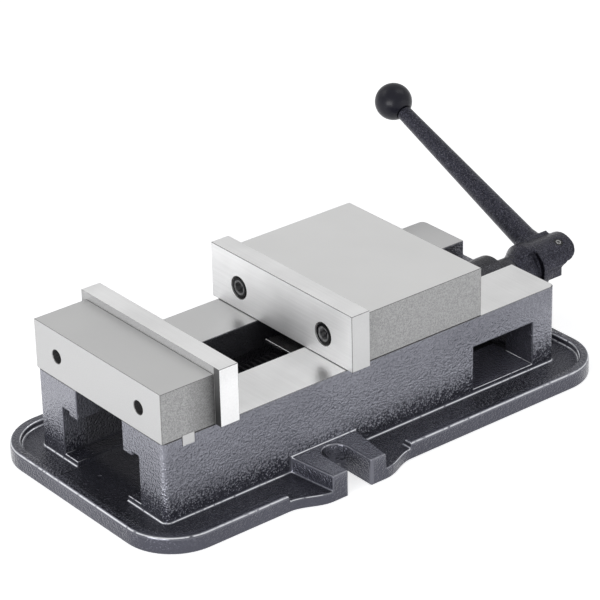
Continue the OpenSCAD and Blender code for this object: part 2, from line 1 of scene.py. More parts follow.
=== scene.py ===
# %% [markdown]
# A low machine vise on a fixed cast base, with a crank on its screw.
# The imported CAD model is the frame: it says where every piece is and what moves with what. This file gives
# each piece its looks: rounded cast edges, ground faces, a cut thread, and paint, steel and iron made of
# shader nodes. All shapes are worked in millimetres, as in a workshop drawing, and go to metres when a
# piece is finished. The bed's main heights and edges, the height of the screw's axis and the places of the
# plates' screws are named first, because shapes and finishes both need them.

# %% Frame and first measurements
from math import cos, pi, radians, sin

import bmesh
import bpy
from mathutils import Matrix, Vector


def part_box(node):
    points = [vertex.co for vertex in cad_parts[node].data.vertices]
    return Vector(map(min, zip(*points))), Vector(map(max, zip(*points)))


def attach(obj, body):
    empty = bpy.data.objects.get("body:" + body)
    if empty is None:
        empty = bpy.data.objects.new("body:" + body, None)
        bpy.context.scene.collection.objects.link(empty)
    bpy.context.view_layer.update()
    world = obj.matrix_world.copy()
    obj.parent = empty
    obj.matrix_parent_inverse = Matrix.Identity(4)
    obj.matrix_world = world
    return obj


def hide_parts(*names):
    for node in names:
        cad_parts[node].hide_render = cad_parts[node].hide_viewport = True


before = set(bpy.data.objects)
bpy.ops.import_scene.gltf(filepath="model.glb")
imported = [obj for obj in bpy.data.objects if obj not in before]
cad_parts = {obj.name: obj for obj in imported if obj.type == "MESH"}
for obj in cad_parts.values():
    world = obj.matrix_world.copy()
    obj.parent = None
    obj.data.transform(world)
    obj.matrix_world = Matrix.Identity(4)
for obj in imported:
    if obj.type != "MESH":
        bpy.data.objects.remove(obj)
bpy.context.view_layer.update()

scene = bpy.context.scene
scene.view_settings.view_transform = "Standard"
METRE = 0.001
BED_TOP, TROUGH, RIM, LUG_TOP = 70.5, 8.5, 13.0, 20.5
BED_X, BED_Y = (-138, 222), 74
AXIS_Z = 43.5
PLATE_SCREW_Y, PLATE_SCREW_Z = 48, 89

# %% [markdown]
# The camera stands where the photographer stood. The vise's straight edges gave its place and three angles:
# how far it is turned about the vertical, how far it is tipped down, and a small roll that is the
# photograph's own. The angles give the directions to the right, up and behind it, which are the columns of
# its matrix. A long lens keeps the edges nearly parallel.

# %% Camera
def make_camera(name, place_mm, turn, tip, roll, lens):
    turn, tip, roll = radians(turn), radians(tip), radians(roll)
    behind = Vector((sin(turn) * cos(tip), -cos(turn) * cos(tip), sin(tip)))
    right = Vector((cos(turn), sin(turn), 0))
    up = behind.cross(right)
    right, up = cos(roll) * right + sin(roll) * up, cos(roll) * up - sin(roll) * right
    data = bpy.data.cameras.new(name)
    data.lens = lens
    data.sensor_width = 36
    data.clip_end = 60
    camera = bpy.data.objects.new(name, data)
    axes = Matrix((right, up, behind)).transposed().to_4x4()
    camera.matrix_world = Matrix.Translation(Vector(place_mm) * METRE) @ axes
    scene.collection.objects.link(camera)
    return camera


scene.camera = make_camera("camera", place_mm=(-1106.97, -1450.94, 1036.01), turn=-38.342, tip=27.051,
                           roll=-1.392, lens=173.99)
print("camera at", [round(v, 3) for v in scene.camera.matrix_world.translation])

# %% [markdown]
# The light is a plain product studio of four soft lamps. Two high ones, at the right and at the back, light
# the tops. A low one at the left is the strongest, because the photograph's faces that look that way are
# bright, and a weak low one at the right lifts the long wall. Area lamps are used, because their size makes
# the shadows soft. Each is given as a radiance, so that a larger lamp isn't a dimmer one.

# %% Lamps
def soft_lamp(name, place, aim, width, height, radiance):
    data = bpy.data.lights.new(name, "AREA")
    data.shape = "RECTANGLE"
    data.size, data.size_y = width, height
    data.energy = radiance * pi * width * height
    lamp = bpy.data.objects.new(name, data)
    look = (Vector(aim) - Vector(place)).to_track_quat("-Z", "Y")
    lamp.matrix_world = Matrix.Translation(Vector(place)) @ look.to_matrix().to_4x4()
    scene.collection.objects.link(lamp)


LAMPS = (("high_right", (0.88, -0.1, 1.25), (0.05, 0, 0), 0.5, 0.9, 1.6),
         ("high_back", (-0.35, 1.05, 1.07), (-0.1, 0, 0), 0.9, 0.5, 1.5),
         ("right_fill", (0.85, -1.35, 0.3), (0.05, 0, 0.05), 1.2, 0.5, 1.0),
         ("left_fill", (-1.45, -0.6, 0.4), (0.05, 0, 0.05), 1.1, 0.6, 8.0))
for lamp in LAMPS:
    soft_lamp(*lamp)

# %% [markdown]
# The room round the vise is pale. A camera ray, and a ray that a shiny face sends out, finds it white, a
# little greyer overhead, while the light that it throws on the vise stays at a plain level. Light Path
# tells the rays apart. A brighter room would give the same background, but it would wash out the vise.

# %% Room
def ray_is(tree, *outputs):
    path = tree.nodes.new("ShaderNodeLightPath")
    value = path.outputs[outputs[0]]
    for name in outputs[1:]:
        both = tree.nodes.new("ShaderNodeMath")
        both.operation = "MAXIMUM"
        tree.links.new(value, both.inputs[0])
        tree.links.new(path.outputs[name], both.inputs[1])
        value = both.outputs[0]
    return value


def make_room(throw, horizon, above, low=0.08, high=0.42):
    world = bpy.data.worlds.new("room")
    world.use_nodes = True
    scene.world = world
    tree = world.node_tree
    tree.nodes.clear()
    out = tree.nodes.new("ShaderNodeOutputWorld")
    mix = tree.nodes.new("ShaderNodeMixShader")
    plain = tree.nodes.new("ShaderNodeBackground")
    white = tree.nodes.new("ShaderNodeBackground")
    plain.inputs["Color"].default_value = (0.96, 0.97, 1.0, 1)
    plain.inputs["Strength"].default_value = throw
    height = tree.nodes.new("ShaderNodeSeparateXYZ")
    tree.links.new(tree.nodes.new("ShaderNodeTexCoord").outputs["Generated"], height.inputs[0])
    fall = tree.nodes.new("ShaderNodeMapRange")
    for i, value in enumerate((low, high, horizon, above), 1):
        fall.inputs[i].default_value = value
    tree.links.new(height.outputs["Z"], fall.inputs[0])
    tree.links.new(fall.outputs[0], white.inputs["Strength"])
    tree.links.new(ray_is(tree, "Is Camera Ray", "Is Glossy Ray", "Is Transmission Ray"), mix.inputs[0])
    tree.links.new(plain.outputs[0], mix.inputs[1])
    tree.links.new(white.outputs[0], mix.inputs[2])
    tree.links.new(mix.outputs[0], out.inputs["Surface"])


make_room(throw=0.38, horizon=1.0, above=0.84)
print("room:", scene.world.name)

# %% [markdown]
# The floor is one wide sheet just under the vise. It takes the vise's shadow, and a little emission, which
# only the camera and shiny faces see, lifts it to white.

# %% Floor
def make_floor(reach, sunk, shade, lifted):
    bm = bmesh.new()
    bmesh.ops.create_grid(bm, x_segments=1, y_segments=1, size=reach)
    mesh = bpy.data.meshes.new("floor")
    bm.to_mesh(mesh)
    bm.free()
    floor = bpy.data.objects.new("floor", mesh)
    floor.location.z = -sunk
    scene.collection.objects.link(floor)
    mat = bpy.data.materials.new("pale_floor")
    mat.use_nodes = True
    tree = mat.node_tree
    tree.nodes.clear()
    out = tree.nodes.new("ShaderNodeOutputMaterial")
    matt = tree.nodes.new("ShaderNodeBsdfDiffuse")
    matt.inputs["Color"].default_value = (shade, shade, shade, 1)
    lift = tree.nodes.new("ShaderNodeEmission")
    lift.inputs["Strength"].default_value = lifted
    seen = tree.nodes.new("ShaderNodeMixShader")
    add = tree.nodes.new("ShaderNodeAddShader")
    tree.links.new(matt.outputs[0], add.inputs[0])
    tree.links.new(lift.outputs[0], add.inputs[1])
    tree.links.new(ray_is(tree, "Is Camera Ray", "Is Glossy Ray", "Is Transmission Ray"), seen.inputs[0])
    tree.links.new(matt.outputs[0], seen.inputs[1])
    tree.links.new(add.outputs[0], seen.inputs[2])
    tree.links.new(seen.outputs[0], out.inputs["Surface"])
    mesh.materials.append(mat)


make_floor(reach=12, sunk=0.0002, shade=0.8, lifted=0.68)

# %% [markdown]
# Effects that several finishes share are shader node groups: a pebbled height for cast and hammered skins,
# fine lines for ground faces, specks for blasted iron, and a mask that finds edges, where paint wears thin
# and where a painted highlight lies. Each group puts out values only. What they mean is settled in each
# material.

# %% Node helpers
def new_group(name, inputs, outputs):
    group = bpy.data.node_groups.new(name, "ShaderNodeTree")
    for label, kind, value in inputs:
        socket = group.interface.new_socket(label, in_out="INPUT", socket_type=kind)
        if value is not None:
            socket.default_value = value
    for label, kind in outputs:
        group.interface.new_socket(label, in_out="OUTPUT", socket_type=kind)
    return group, group.nodes.new("NodeGroupInput"), group.nodes.new("NodeGroupOutput")


def add_node(tree, kind, settings=None, **values):
    node = tree.nodes.new("ShaderNode" + kind)
    for name, value in (settings or {}).items():
        setattr(node, name, value)
    for name, value in values.items():
        numbered = name[0] == "i" and name[1:].isdigit()
        socket = node.inputs[int(name[1:]) if numbered else name.replace("_", " ")]
        if isinstance(value, bpy.types.NodeSocket):
            tree.links.new(value, socket)
        else:
            socket.default_value = value
    return node


def math_node(tree, operation, a, b=0.0):
    return add_node(tree, "Math", {"operation": operation}, i0=a, i1=b).outputs[0]


def product(tree, first, *others):
    for other in others:
        first = math_node(tree, "MULTIPLY", first, other)
    return first


def parts_of(tree, vector):
    return add_node(tree, "SeparateXYZ", Vector=vector).outputs


def unsigned(tree, value):
    return math_node(tree, "ABSOLUTE", value)


def facing_parts(tree):
    return parts_of(tree, add_node(tree, "NewGeometry").outputs["Normal"])


def noise_at(tree, vector, scale, detail=2.0, rough=0.5):
    return add_node(tree, "TexNoise", Vector=vector, Scale=scale, Detail=detail, Roughness=rough).outputs[0]


def spread(tree, value, low, high, to_low=0.0, to_high=1.0):
    node = add_node(tree, "MapRange", {"clamp": True}, i0=value, i1=low, i2=high, i3=to_low, i4=to_high)
    return node.outputs[0]

# %% [markdown]
# The four effects themselves. The pebbles are the cells of a Voronoi pattern with soft and fine noise on
# top. The lines of a grinding wheel are noise that is pulled long in one direction. The specks of blasting
# are coarse noise, cut off at both ends. The worn and lit edges come from the mesh's own sharpness with a
# ragged noise over it.

# %% Shared effects
VEC, NUM = "NodeSocketVector", "NodeSocketFloat"


def make_pebble():
    inputs = [("Place", VEC, None), ("Cells per metre", NUM, 300.0), ("Grit", NUM, 0.3)]
    group, g_in, g_out = new_group("pebbled_skin", inputs, [("Height", NUM), ("Tone", NUM)])
    place, cells, grit = (g_in.outputs[i] for i in range(3))
    bumps = add_node(group, "TexVoronoi", {"feature": "SMOOTH_F1"}, Vector=place, Scale=cells, Smoothness=0.4)
    soft = noise_at(group, place, product(group, cells, 0.8), 2)
    fine = noise_at(group, place, product(group, cells, 3.5), 2)
    height = math_node(group, "ADD", product(group, bumps.outputs["Distance"], -0.8), soft)
    height = math_node(group, "ADD", height, product(group, fine, grit))
    patches = noise_at(group, place, 16.0, 3)
    group.links.new(height, g_out.inputs["Height"])
    group.links.new(patches, g_out.inputs["Tone"])
    return group


def make_grinding():
    inputs = [("Place", VEC, None), ("Lines per metre", NUM, 2600.0), ("Length", NUM, 0.03)]
    group, g_in, g_out = new_group("ground_lines", inputs, [("Lines", NUM), ("Cloud", NUM)])
    place, lines, length = (g_in.outputs[i] for i in range(3))
    part = parts_of(group, place)
    squeezed = add_node(group, "CombineXYZ", X=product(group, part["X"], length), Y=part["Y"], Z=part["Z"])
    group.links.new(noise_at(group, squeezed.outputs[0], lines, 3, 0.6), g_out.inputs["Lines"])
    group.links.new(noise_at(group, place, 22.0, 2), g_out.inputs["Cloud"])
    return group


def make_specks():
    inputs = [("Place", VEC, None), ("Grains per metre", NUM, 900.0)]
    group, g_in, g_out = new_group("blasted_specks", inputs, [("Specks", NUM), ("Height", NUM)])
    place, grains = g_in.outputs[0], g_in.outputs[1]
    coarse = noise_at(group, place, grains, 3, 0.65)
    group.links.new(spread(group, coarse, 0.36, 0.66), g_out.inputs["Specks"])
    group.links.new(coarse, g_out.inputs["Height"])
    return group


def make_edges():
    inputs = [("Place", VEC, None), ("From", NUM, 0.52), ("To", NUM, 0.6)]
    group, g_in, g_out = new_group("rubbed_and_lit_edges", inputs, [("Mask", NUM)])
    # The edge mask marks rubbed edges and, where a finish lightens them, a painted highlight along them.
    point = add_node(group, "NewGeometry").outputs["Pointiness"]
    raggedness = 0.05
    ragged = product(group, noise_at(group, g_in.outputs["Place"], 140.0, 3), raggedness)
    worn_and_lit = math_node(group, "ADD", point, math_node(group, "SUBTRACT", ragged, raggedness / 2))
    group.links.new(spread(group, worn_and_lit, g_in.outputs["From"], g_in.outputs["To"]), g_out.inputs["Mask"])
    return group


EFFECTS = {"pebble": make_pebble(), "grinding": make_grinding(),
           "specks": make_specks(), "edges": make_edges()}
print("effects:", [g.name for g in EFFECTS.values()])

# %% [markdown]
# A finish starts from one Principled shader and a position on the object. The helpers place an effect,
# blend two colours by a mask, and turn a height into a bump. Constant numbers sit on the shader's own
# sockets. A mask that depends on the place is written in millimetres like the shapes, and the helper turns
# them to metres.

# %% Finish helpers
def grey(level):
    return (level, level, level)


def start_finish(name, colour, roughness, metallic=0.0, **sockets):
    mat = bpy.data.materials.new(name)
    mat.use_nodes = True
    shader = mat.node_tree.nodes["Principled BSDF"]
    shader.inputs["Base Color"].default_value = (*colour, 1)
    shader.inputs["Roughness"].default_value = roughness
    shader.inputs["Metallic"].default_value = metallic
    for label, value in sockets.items():
        shader.inputs[label.replace("_", " ")].default_value = value
    place = add_node(mat.node_tree, "TexCoord").outputs["Object"]
    return mat, mat.node_tree, shader, place


def effect(tree, name, place, **values):
    node = tree.nodes.new("ShaderNodeGroup")
    node.node_tree = EFFECTS[name]
    tree.links.new(place, node.inputs["Place"])
    for label, value in values.items():
        node.inputs[label.replace("_", " ")].default_value = value
    return node.outputs


def two_colours(tree, mask, low, high):
    node = add_node(tree, "Mix", {"data_type": "RGBA"})
    tree.links.new(mask, node.inputs["Factor"])
    for socket, colour in ((node.inputs[6], low), (node.inputs[7], high)):
        if isinstance(colour, bpy.types.NodeSocket):
            tree.links.new(colour, socket)
        else:
            socket.default_value = (*colour, 1)
    return node.outputs[2]


def colour_by(tree, shader, tone):
    tree.links.new(tone, shader.inputs["Base Color"])


def raise_by(tree, shader, height, depth, strength=1.0):
    bump = add_node(tree, "Bump", Strength=strength, Distance=depth, Height=height)
    tree.links.new(bump.outputs[0], shader.inputs["Normal"])


def fade(tree, part, start, stop, before=0.0, after=1.0):
    return spread(tree, part, start * METRE, stop * METRE, before, after)


def below(tree, part, limit, soft=0.6):
    return fade(tree, part, limit - soft, limit + soft, 1.0, 0.0)


def distance_to(tree, part, middle):
    return unsigned(tree, math_node(tree, "SUBTRACT", part, middle * METRE))

# %% [markdown]
# Hammered paint covers the casting. On the real base it is a blue grey enamel, drawn into small pebbles as
# it dried. It could be real displacement, but bumps a few tenths of a millimetre high only ever show in the
# shine, so the pebbles are a bump with a slow change of tone over it. The enamel is one colour, so the tones
# laid over it by place are painted light and shade: the foot of the wall and the trough are painted darker
# than the wall, and so are the inside of the channel and the windows' faces that look to -X, while the bed's
# front end, the lower right of the wall, the lug tops and the other faces in the windows are painted
# lighter. Along a ragged band at the foot the pebbles' hollows get painted shade and their crowns painted
# glints. Each of these is a mask by place that blends one more shade over the last. A band names the two
# places, in millimetres, between which a mask comes in, and where needed its value before and after them.

# %% Painted casting
ENAMEL = (0.14, 0.143, 0.17)
# Tones of the one enamel: the wall is the plain tone; foot, trough, pits, channel and the dark window faces
# are painted shade; low right, front, lug, glints and the light window faces are painted light.
SHADES = {"foot": ((0.07, 0.071, 0.092), (0.1, 0.102, 0.128)),
          "wall": ((0.215, 0.218, 0.252), (0.28, 0.284, 0.324)),
          "window": ((0.06, 0.06, 0.078), (0.24, 0.24, 0.3)),
          "low right": (0.375, 0.38, 0.43), "front": (0.32, 0.324, 0.366), "trough": (0.074, 0.075, 0.094),
          "lug": (0.21, 0.213, 0.25), "pits": (0.05, 0.051, 0.068), "glints": (0.42, 0.425, 0.47),
          "channel": (0.13, 0.13, 0.145)}
BANDS = {"wall begins": (12.5, 21), "lower wall": (58, 28), "towards the crank": (-130, 120, 0.3, 1.0),
         "front": (BED_X[0] + 0.8, BED_X[0] + 1.4, 1.0, 0.0), "lug": (LUG_TOP - 6, LUG_TOP - 2),
         "rough foot": (34, 18), "clear of the floor": (TROUGH + 1, TROUGH + 3.5),
         "calm at the floor": (4, 12, 0.5, 1.0), "calm high up": (20, 60, 1.0, 0.55)}
# On the bed's front end the painted shade of the foot reaches this much higher.
FRONT_FOOT_RISE = 6
CHANNEL_MIDDLE, CHANNEL_HALF, CHANNEL_REACH = 47.5, 45.6, 168
WINDOW_X, WINDOW_Z, WINDOW_HALF_X, WINDOW_HALF_Z = 170.75, 29.75, 29.8, 17.8


def inside_channel(tree, place, reach=CHANNEL_REACH):
    part = parts_of(tree, place)
    across = unsigned(tree, part["Y"])
    along = distance_to(tree, part["X"], CHANNEL_MIDDLE)
    hollow = product(tree, below(tree, across, CHANNEL_HALF), below(tree, along, reach, soft=5),
                     below(tree, part["Z"], BED_TOP - 1))
    beside = distance_to(tree, part["X"], WINDOW_X)
    level = distance_to(tree, part["Z"], WINDOW_Z)
    window = product(tree, below(tree, across, BED_Y - 1.2), below(tree, beside, WINDOW_HALF_X),
                     below(tree, level, WINDOW_HALF_Z))
    return hollow, window


# The wall's plain tone, painted lighter towards its lower right and on the bed's front end: painted light.
def painted_wall(tree, part, patches, front):
    wall = two_colours(tree, patches, *SHADES["wall"])
    low_right = product(tree, fade(tree, part["Z"], *BANDS["lower wall"]),
                        fade(tree, part["X"], *BANDS["towards the crank"]))
    wall = two_colours(tree, low_right, wall, SHADES["low right"])
    return two_colours(tree, front, wall, SHADES["front"])


# Painted shade in the pebbles' hollows and painted glints on their crowns, along a ragged band at the foot.
def rough_foot(tree, part, on_bed, skin, tone):
    near_foot = product(tree, fade(tree, part["Z"], *BANDS["rough foot"]), on_bed,
                        fade(tree, part["Z"], *BANDS["clear of the floor"]))
    deep, proud = spread(tree, skin["Height"], 0.45, 0.05), spread(tree, skin["Height"], 0.44, 0.52)
    pits = product(tree, deep, spread(tree, near_foot, 0.0, 1.0, 0.3, 0.85))
    tone = two_colours(tree, pits, tone, SHADES["pits"])
    return two_colours(tree, product(tree, proud, near_foot, 0.6), tone, SHADES["glints"])


def make_paint():
    mat, tree, shader, place = start_finish("hammered_paint", ENAMEL, 0.22, metallic=0.6)
    skin = effect(tree, "pebble", place, Cells_per_metre=700.0, Grit=0.2)
    patches = spread(tree, skin["Tone"], 0.3, 0.7)
    part, normal = parts_of(tree, place), facing_parts(tree)
    ragged = product(tree, math_node(tree, "SUBTRACT", skin["Height"], 0.35), 0.02)
    height = math_node(tree, "ADD", part["Z"], ragged)
    on_bed = below(tree, unsigned(tree, part["Y"]), BED_Y + 0.8)
    front = fade(tree, part["X"], *BANDS["front"])
    raised = math_node(tree, "SUBTRACT", height, product(tree, front, FRONT_FOOT_RISE * METRE))
    # Below where the wall begins, the darker foot tone is painted shade.
    upper = product(tree, fade(tree, raised, *BANDS["wall begins"]), on_bed)
    foot, wall = two_colours(tree, patches, *SHADES["foot"]), painted_wall(tree, part, patches, front)
    tone = two_colours(tree, upper, foot, wall)
    # Painted shade on the trough's lying faces.
    lying = product(tree, spread(tree, normal["Z"], 0.9, 0.97), below(tree, part["Z"], TROUGH + 2))
    tone = two_colours(tree, lying, tone, SHADES["trough"])
    # Painted light on the lug tops.
    on_lug = product(tree, fade(tree, part["Z"], *BANDS["lug"]), spread(tree, on_bed, 1.0, 0.0),
                     spread(tree, normal["Z"], 0.7, 0.95, 0.35, 1.0))
    tone = two_colours(tree, on_lug, tone, SHADES["lug"])
    tone = rough_foot(tree, part, on_bed, skin, tone)
    # Painted shade inside the channel; in the windows the faces are painted light, those facing -X painted
    # dark.
    hollow, window = inside_channel(tree, place)
    tone = two_colours(tree, hollow, tone, SHADES["channel"])
    lit_side = two_colours(tree, spread(tree, normal["X"], -0.6, -0.4), *SHADES["window"])
    colour_by(tree, shader, two_colours(tree, window, tone, lit_side))
    tree.links.new(spread(tree, skin["Tone"], 0.3, 0.7, 0.05, 0.1), shader.inputs["Roughness"])
    calm = [fade(tree, height, *BANDS[name]) for name in ("calm at the floor", "calm high up")]
    raise_by(tree, shader, skin["Height"], 0.0009, math_node(tree, "MINIMUM", *calm))
    return mat


paint = make_paint()
print("painted:", paint.name, "with", len(SHADES), "shades and", len(BANDS), "bands")

# %% [markdown]
# On the roundings the enamel ran thin before it dried, so they get a smoother finish of their own, because
# the Bevel modifier can give its new faces a material. The photograph has a bright, broken line on the crest
# of the trough's rim, weaker where a lug is: here it is a painted highlight, a mask by how far a face leans
# back from upright. Inside the channel the roundings are painted darker, as shade.

# %% Paint and painted highlight on the roundings
LUG_EDGE = (31.5, 32.5)


def crest_highlight(tree, place):
    up = facing_parts(tree)["Z"]
    band = product(tree, spread(tree, up, 0.48, 0.6), spread(tree, up, 0.9, 0.78))
    gaps = spread(tree, noise_at(tree, place, 260.0, 2), 0.3, 0.44)
    part = parts_of(tree, place)
    across, along = unsigned(tree, part["Y"]), unsigned(tree, part["X"])
    off_lugs = math_node(tree, "MAXIMUM", fade(tree, along, *LUG_EDGE), below(tree, across, BED_Y + 3.5))
    return product(tree, band, gaps, spread(tree, off_lugs, 0.0, 1.0, 0.25, 1.0))


def make_rounding_paint_and_highlight():
    mat, tree, shader, place = start_finish("paint_and_highlight_on_roundings", ENAMEL, 0.07, metallic=0.6)
    skin = effect(tree, "pebble", place, Cells_per_metre=400.0, Grit=0.1)
    tone = two_colours(tree, spread(tree, skin["Tone"], 0.3, 0.7), (0.11, 0.112, 0.135), (0.16, 0.162, 0.19))
    # Painted highlight along the crest of the rim.
    tone = two_colours(tree, crest_highlight(tree, place), tone, (0.85, 0.86, 0.9))
    way_edge = fade(tree, parts_of(tree, place)["Z"], BED_TOP - 0.4, BED_TOP - 0.3)
    tone = two_colours(tree, way_edge, tone, (0.22, 0.22, 0.23))
    # Painted shade on the roundings inside the channel.
    tone = two_colours(tree, inside_channel(tree, place, CHANNEL_REACH + 13)[0], tone, (0.05, 0.05, 0.062))
    colour_by(tree, shader, tone)
    raise_by(tree, shader, skin["Height"], 0.00014)
    return mat


rounding_paint_and_highlight = make_rounding_paint_and_highlight()
print("painted:", rounding_paint_and_highlight.name)

# %% [markdown]
# Ground steel and iron: the tops, the ways and the jaw plates come off a surface grinder. The wheel leaves
# short parallel lines across the vise that spread the shine. Stretched noise gives the lines, a slow cloud
# the uneven oil. A Mapping node turns the noise, so that it is long along Y. Each ground piece has its own
# pair of greys, because the photograph shows them at different brightness: they are lit and shaded copies
# of one ground finish, so the differences are painted light and shade, and the way is painted darker
# towards its far side, as shade.

# %% Ground metal
def make_ground(name, dark, light, roughness, lines=2600.0, deep=0.000004, far_shade=None, metallic=1.0):
    mat, tree, shader, place = start_finish(name, light, roughness, metallic)
    lengthwise = add_node(tree, "Mapping", Vector=place, Rotation=(0, 0, radians(90))).outputs[0]
    marks = effect(tree, "grinding", lengthwise, Lines_per_metre=lines)
    blend = math_node(tree, "ADD", product(tree, marks["Lines"], 0.3), product(tree, marks["Cloud"], 0.7))
    tone = two_colours(tree, spread(tree, blend, 0.3, 0.7), dark, light)
    # Painted shade towards the far side.
    if far_shade:
        tone = two_colours(tree, fade(tree, parts_of(tree, place)["Y"], -20, 30), tone, far_shade)
    colour_by(tree, shader, tone)
    oily = spread(tree, marks["Cloud"], 0.3, 0.7, roughness - 0.01, roughness + 0.02)
    tree.links.new(oily, shader.inputs["Roughness"])
    raise_by(tree, shader, marks["Lines"], deep)
    return mat


# Lit and shaded copies of one ground finish: the fixed jaw's top painted darker than the moving jaw's, a
# plate's top painted lighter and the moving plate's ends darker than its face.
fixed_top = make_ground("ground_fixed_jaw", grey(0.67), (0.7, 0.7, 0.695), 0.36)
moving_top = make_ground("ground_moving_jaw", (0.85, 0.85, 0.845), (0.88, 0.88, 0.875), 0.36)
ground_way = make_ground("ground_way", grey(0.82), grey(0.99), 0.3, 700.0, 0.000006, far_shade=grey(0.7))
ground_plate = make_ground("ground_plate", grey(0.8), grey(0.98), 0.56, 700.0, 0.00001, metallic=0.72)
plate_end = make_ground("ground_plate_end", grey(0.6), grey(0.68), 0.56, 700.0, 0.00001, metallic=0.72)
plate_top = make_ground("ground_plate_top", grey(0.86), grey(1.0), 0.45, 700.0, 0.00001)
print("ground:", [m.name for m in (fixed_top, moving_top, ground_way, ground_plate, plate_end, plate_top)])

# %% [markdown]
# The jaws' long sides are not ground. They are milled and then blasted, so they are full of fine specks and
# don't mirror anything; that they are darker than the blasted ends is painted shade, a shaded copy of one
# blasted finish. The same specks, finer and at other greys, serve for blackened screws, oiled steel and the
# small bright pieces. Painted shade is a share of both greys that comes in along one axis: the fixed jaw's
# side is painted darker towards its plate, as the shade of the plate's overhang, and a jaw's lowest edge is
# painted dark, as the shade where it stands on the ways.

# %% Blasted, blackened and bright metal
def make_specked(name, dark, light, roughness, metallic, grains=900.0, deep=0.00008, painted_shade=None, **sockets):
    mat, tree, shader, place = start_finish(name, light, roughness, metallic, **sockets)
    grain = effect(tree, "specks", place, Grains_per_metre=grains)
    tone = two_colours(tree, grain["Specks"], dark, light)
    if painted_shade:
        axis, start, stop, share = painted_shade
        darker = [tuple(share * v for v in colour) for colour in (dark, light)]
        shaded_tone = two_colours(tree, grain["Specks"], *darker)
        tone = two_colours(tree, fade(tree, parts_of(tree, place)[axis], start, stop), tone, shaded_tone)
    colour_by(tree, shader, tone)
    raise_by(tree, shader, grain["Height"], deep)
    return mat


# Painted shade: the fixed jaw's side darker towards its plate, and a jaw's lowest edge dark where it stands on
# the ways.
SHADE_TOWARDS_PLATE, JOINT_SHADE = ("X", -118, -94, 0.5), ("Z", BED_TOP + 1.1, BED_TOP + 0.7, 0.08)
# A jaw's sides and ends are shaded and lit copies of one blasted finish.
blasted_side = make_specked("blasted_side", grey(0.3), grey(0.48), 0.55, 0.75, 1100.0, 0.00012)
blasted_fixed = make_specked("blasted_fixed_side", grey(0.28), grey(0.46), 0.55, 0.75, 1100.0, 0.00012,
                             SHADE_TOWARDS_PLATE)
blasted_end = make_specked("blasted_end", grey(0.54), grey(0.6), 0.5, 0.9, 1500.0, 0.00002)
black_oxide = make_specked("black_oxide", (0.008, 0.008, 0.009), (0.022, 0.022, 0.024), 0.36, 0.3, 1500.0,
                           0.00002)
# Near black, for grease and as painted shade, so that the screw is lost in the slot's shade.
greased_shaded_screw = make_specked("greased_shaded_screw", (0.004, 0.004, 0.005), (0.01, 0.01, 0.012), 0.6, 0.0, 700.0,
                             0.00002, Specular_IOR_Level=0.1)
broken_edge = make_specked("broken_edge", grey(0.16), grey(0.3), 0.5, 1.0, 1500.0, 0.00002, JOINT_SHADE)
# Painted shade inside the jaws' screw holes.
shaded_bore = make_specked("shaded_bore", grey(0.05), grey(0.09), 0.6, 0.3)
oiled_steel = make_specked("oiled_steel", grey(0.2), grey(0.34), 0.3, 1.0, 700.0, 0.00002)
nut_iron = make_specked("nut_iron", (0.12, 0.12, 0.125), (0.22, 0.22, 0.225), 0.5, 0.6, 800.0)
bright_sheet = make_specked("bright_sheet", grey(0.5), grey(0.66), 0.25, 1.0, 500.0, 0.00002)
bright_steel = make_specked("bright_steel", grey(0.7), grey(0.82), 0.16, 1.0, 400.0, 0.00001)
cage_brass = make_specked("cage_brass", (0.55, 0.42, 0.2), (0.72, 0.58, 0.3), 0.35, 1.0, 600.0, 0.00002)
print("finishes so far:", len(bpy.data.materials))

# %% [markdown]
# Two finishes depend on where they are on a piece. The back of a jaw plate is bright, but the strip of it
# that stands out past the jaw's near side is painted dark, most of all at its foot, as the shade it stands
# in. A socket screw is black oxide, painted near black as shade in its socket and round its head, with a
# thin painted highlight on its rim: a mask by the distance from the screw's own axis, made ragged by noise.
# It could be a ring of geometry, but a highlight line has no thickness.

# %% Plate backs and socket screws
def make_plate_back():
    mat, tree, shader, place = start_finish("plate_back", grey(0.8), 0.5, metallic=0.35)
    grain = effect(tree, "specks", place, Grains_per_metre=1500.0)
    part = parts_of(tree, place)
    bright = two_colours(tree, grain["Specks"], grey(0.4), grey(0.52))
    # Painted shade on the strip past the jaw's near side, darkest at its foot.
    shaded_strip = two_colours(tree, fade(tree, part["Z"], 80, 105), (0.03, 0.03, 0.031), (0.11, 0.11, 0.111))
    near_end = fade(tree, part["Y"], 0.4 - BED_Y, -0.2 - BED_Y)
    colour_by(tree, shader, two_colours(tree, near_end, bright, shaded_strip))
    raise_by(tree, shader, grain["Height"], 0.00002)
    return mat


def make_socket_screw():
    mat, tree, shader, place = start_finish("socket_screw", (0.01, 0.01, 0.011), 0.4, metallic=0.3,
                                            Specular_IOR_Level=0.12)
    part = parts_of(tree, place)
    aside = math_node(tree, "SUBTRACT", unsigned(tree, part["Y"]), PLATE_SCREW_Y * METRE)
    level = math_node(tree, "SUBTRACT", part["Z"], PLATE_SCREW_Z * METRE)
    squares = [math_node(tree, "POWER", offset, 2.0) for offset in (aside, level)]
    radius = math_node(tree, "SQRT", math_node(tree, "ADD", *squares))
    # Painted highlight on the screw's rim; elsewhere near black, painted shade in the socket and round the
    # head.
    rim_highlight = product(tree, fade(tree, radius, 3.8, 4.2), fade(tree, radius, 5.9, 5.5),
                   spread(tree, noise_at(tree, place, 300.0, 2), 0.3, 0.6, 0.3, 1.0))
    colour_by(tree, shader, two_colours(tree, rim_highlight, (0.004, 0.004, 0.005), (0.24, 0.24, 0.245)))
    return mat


plate_back = make_plate_back()
socket_screw = make_socket_screw()
print("by place:", plate_back.name, socket_screw.name)

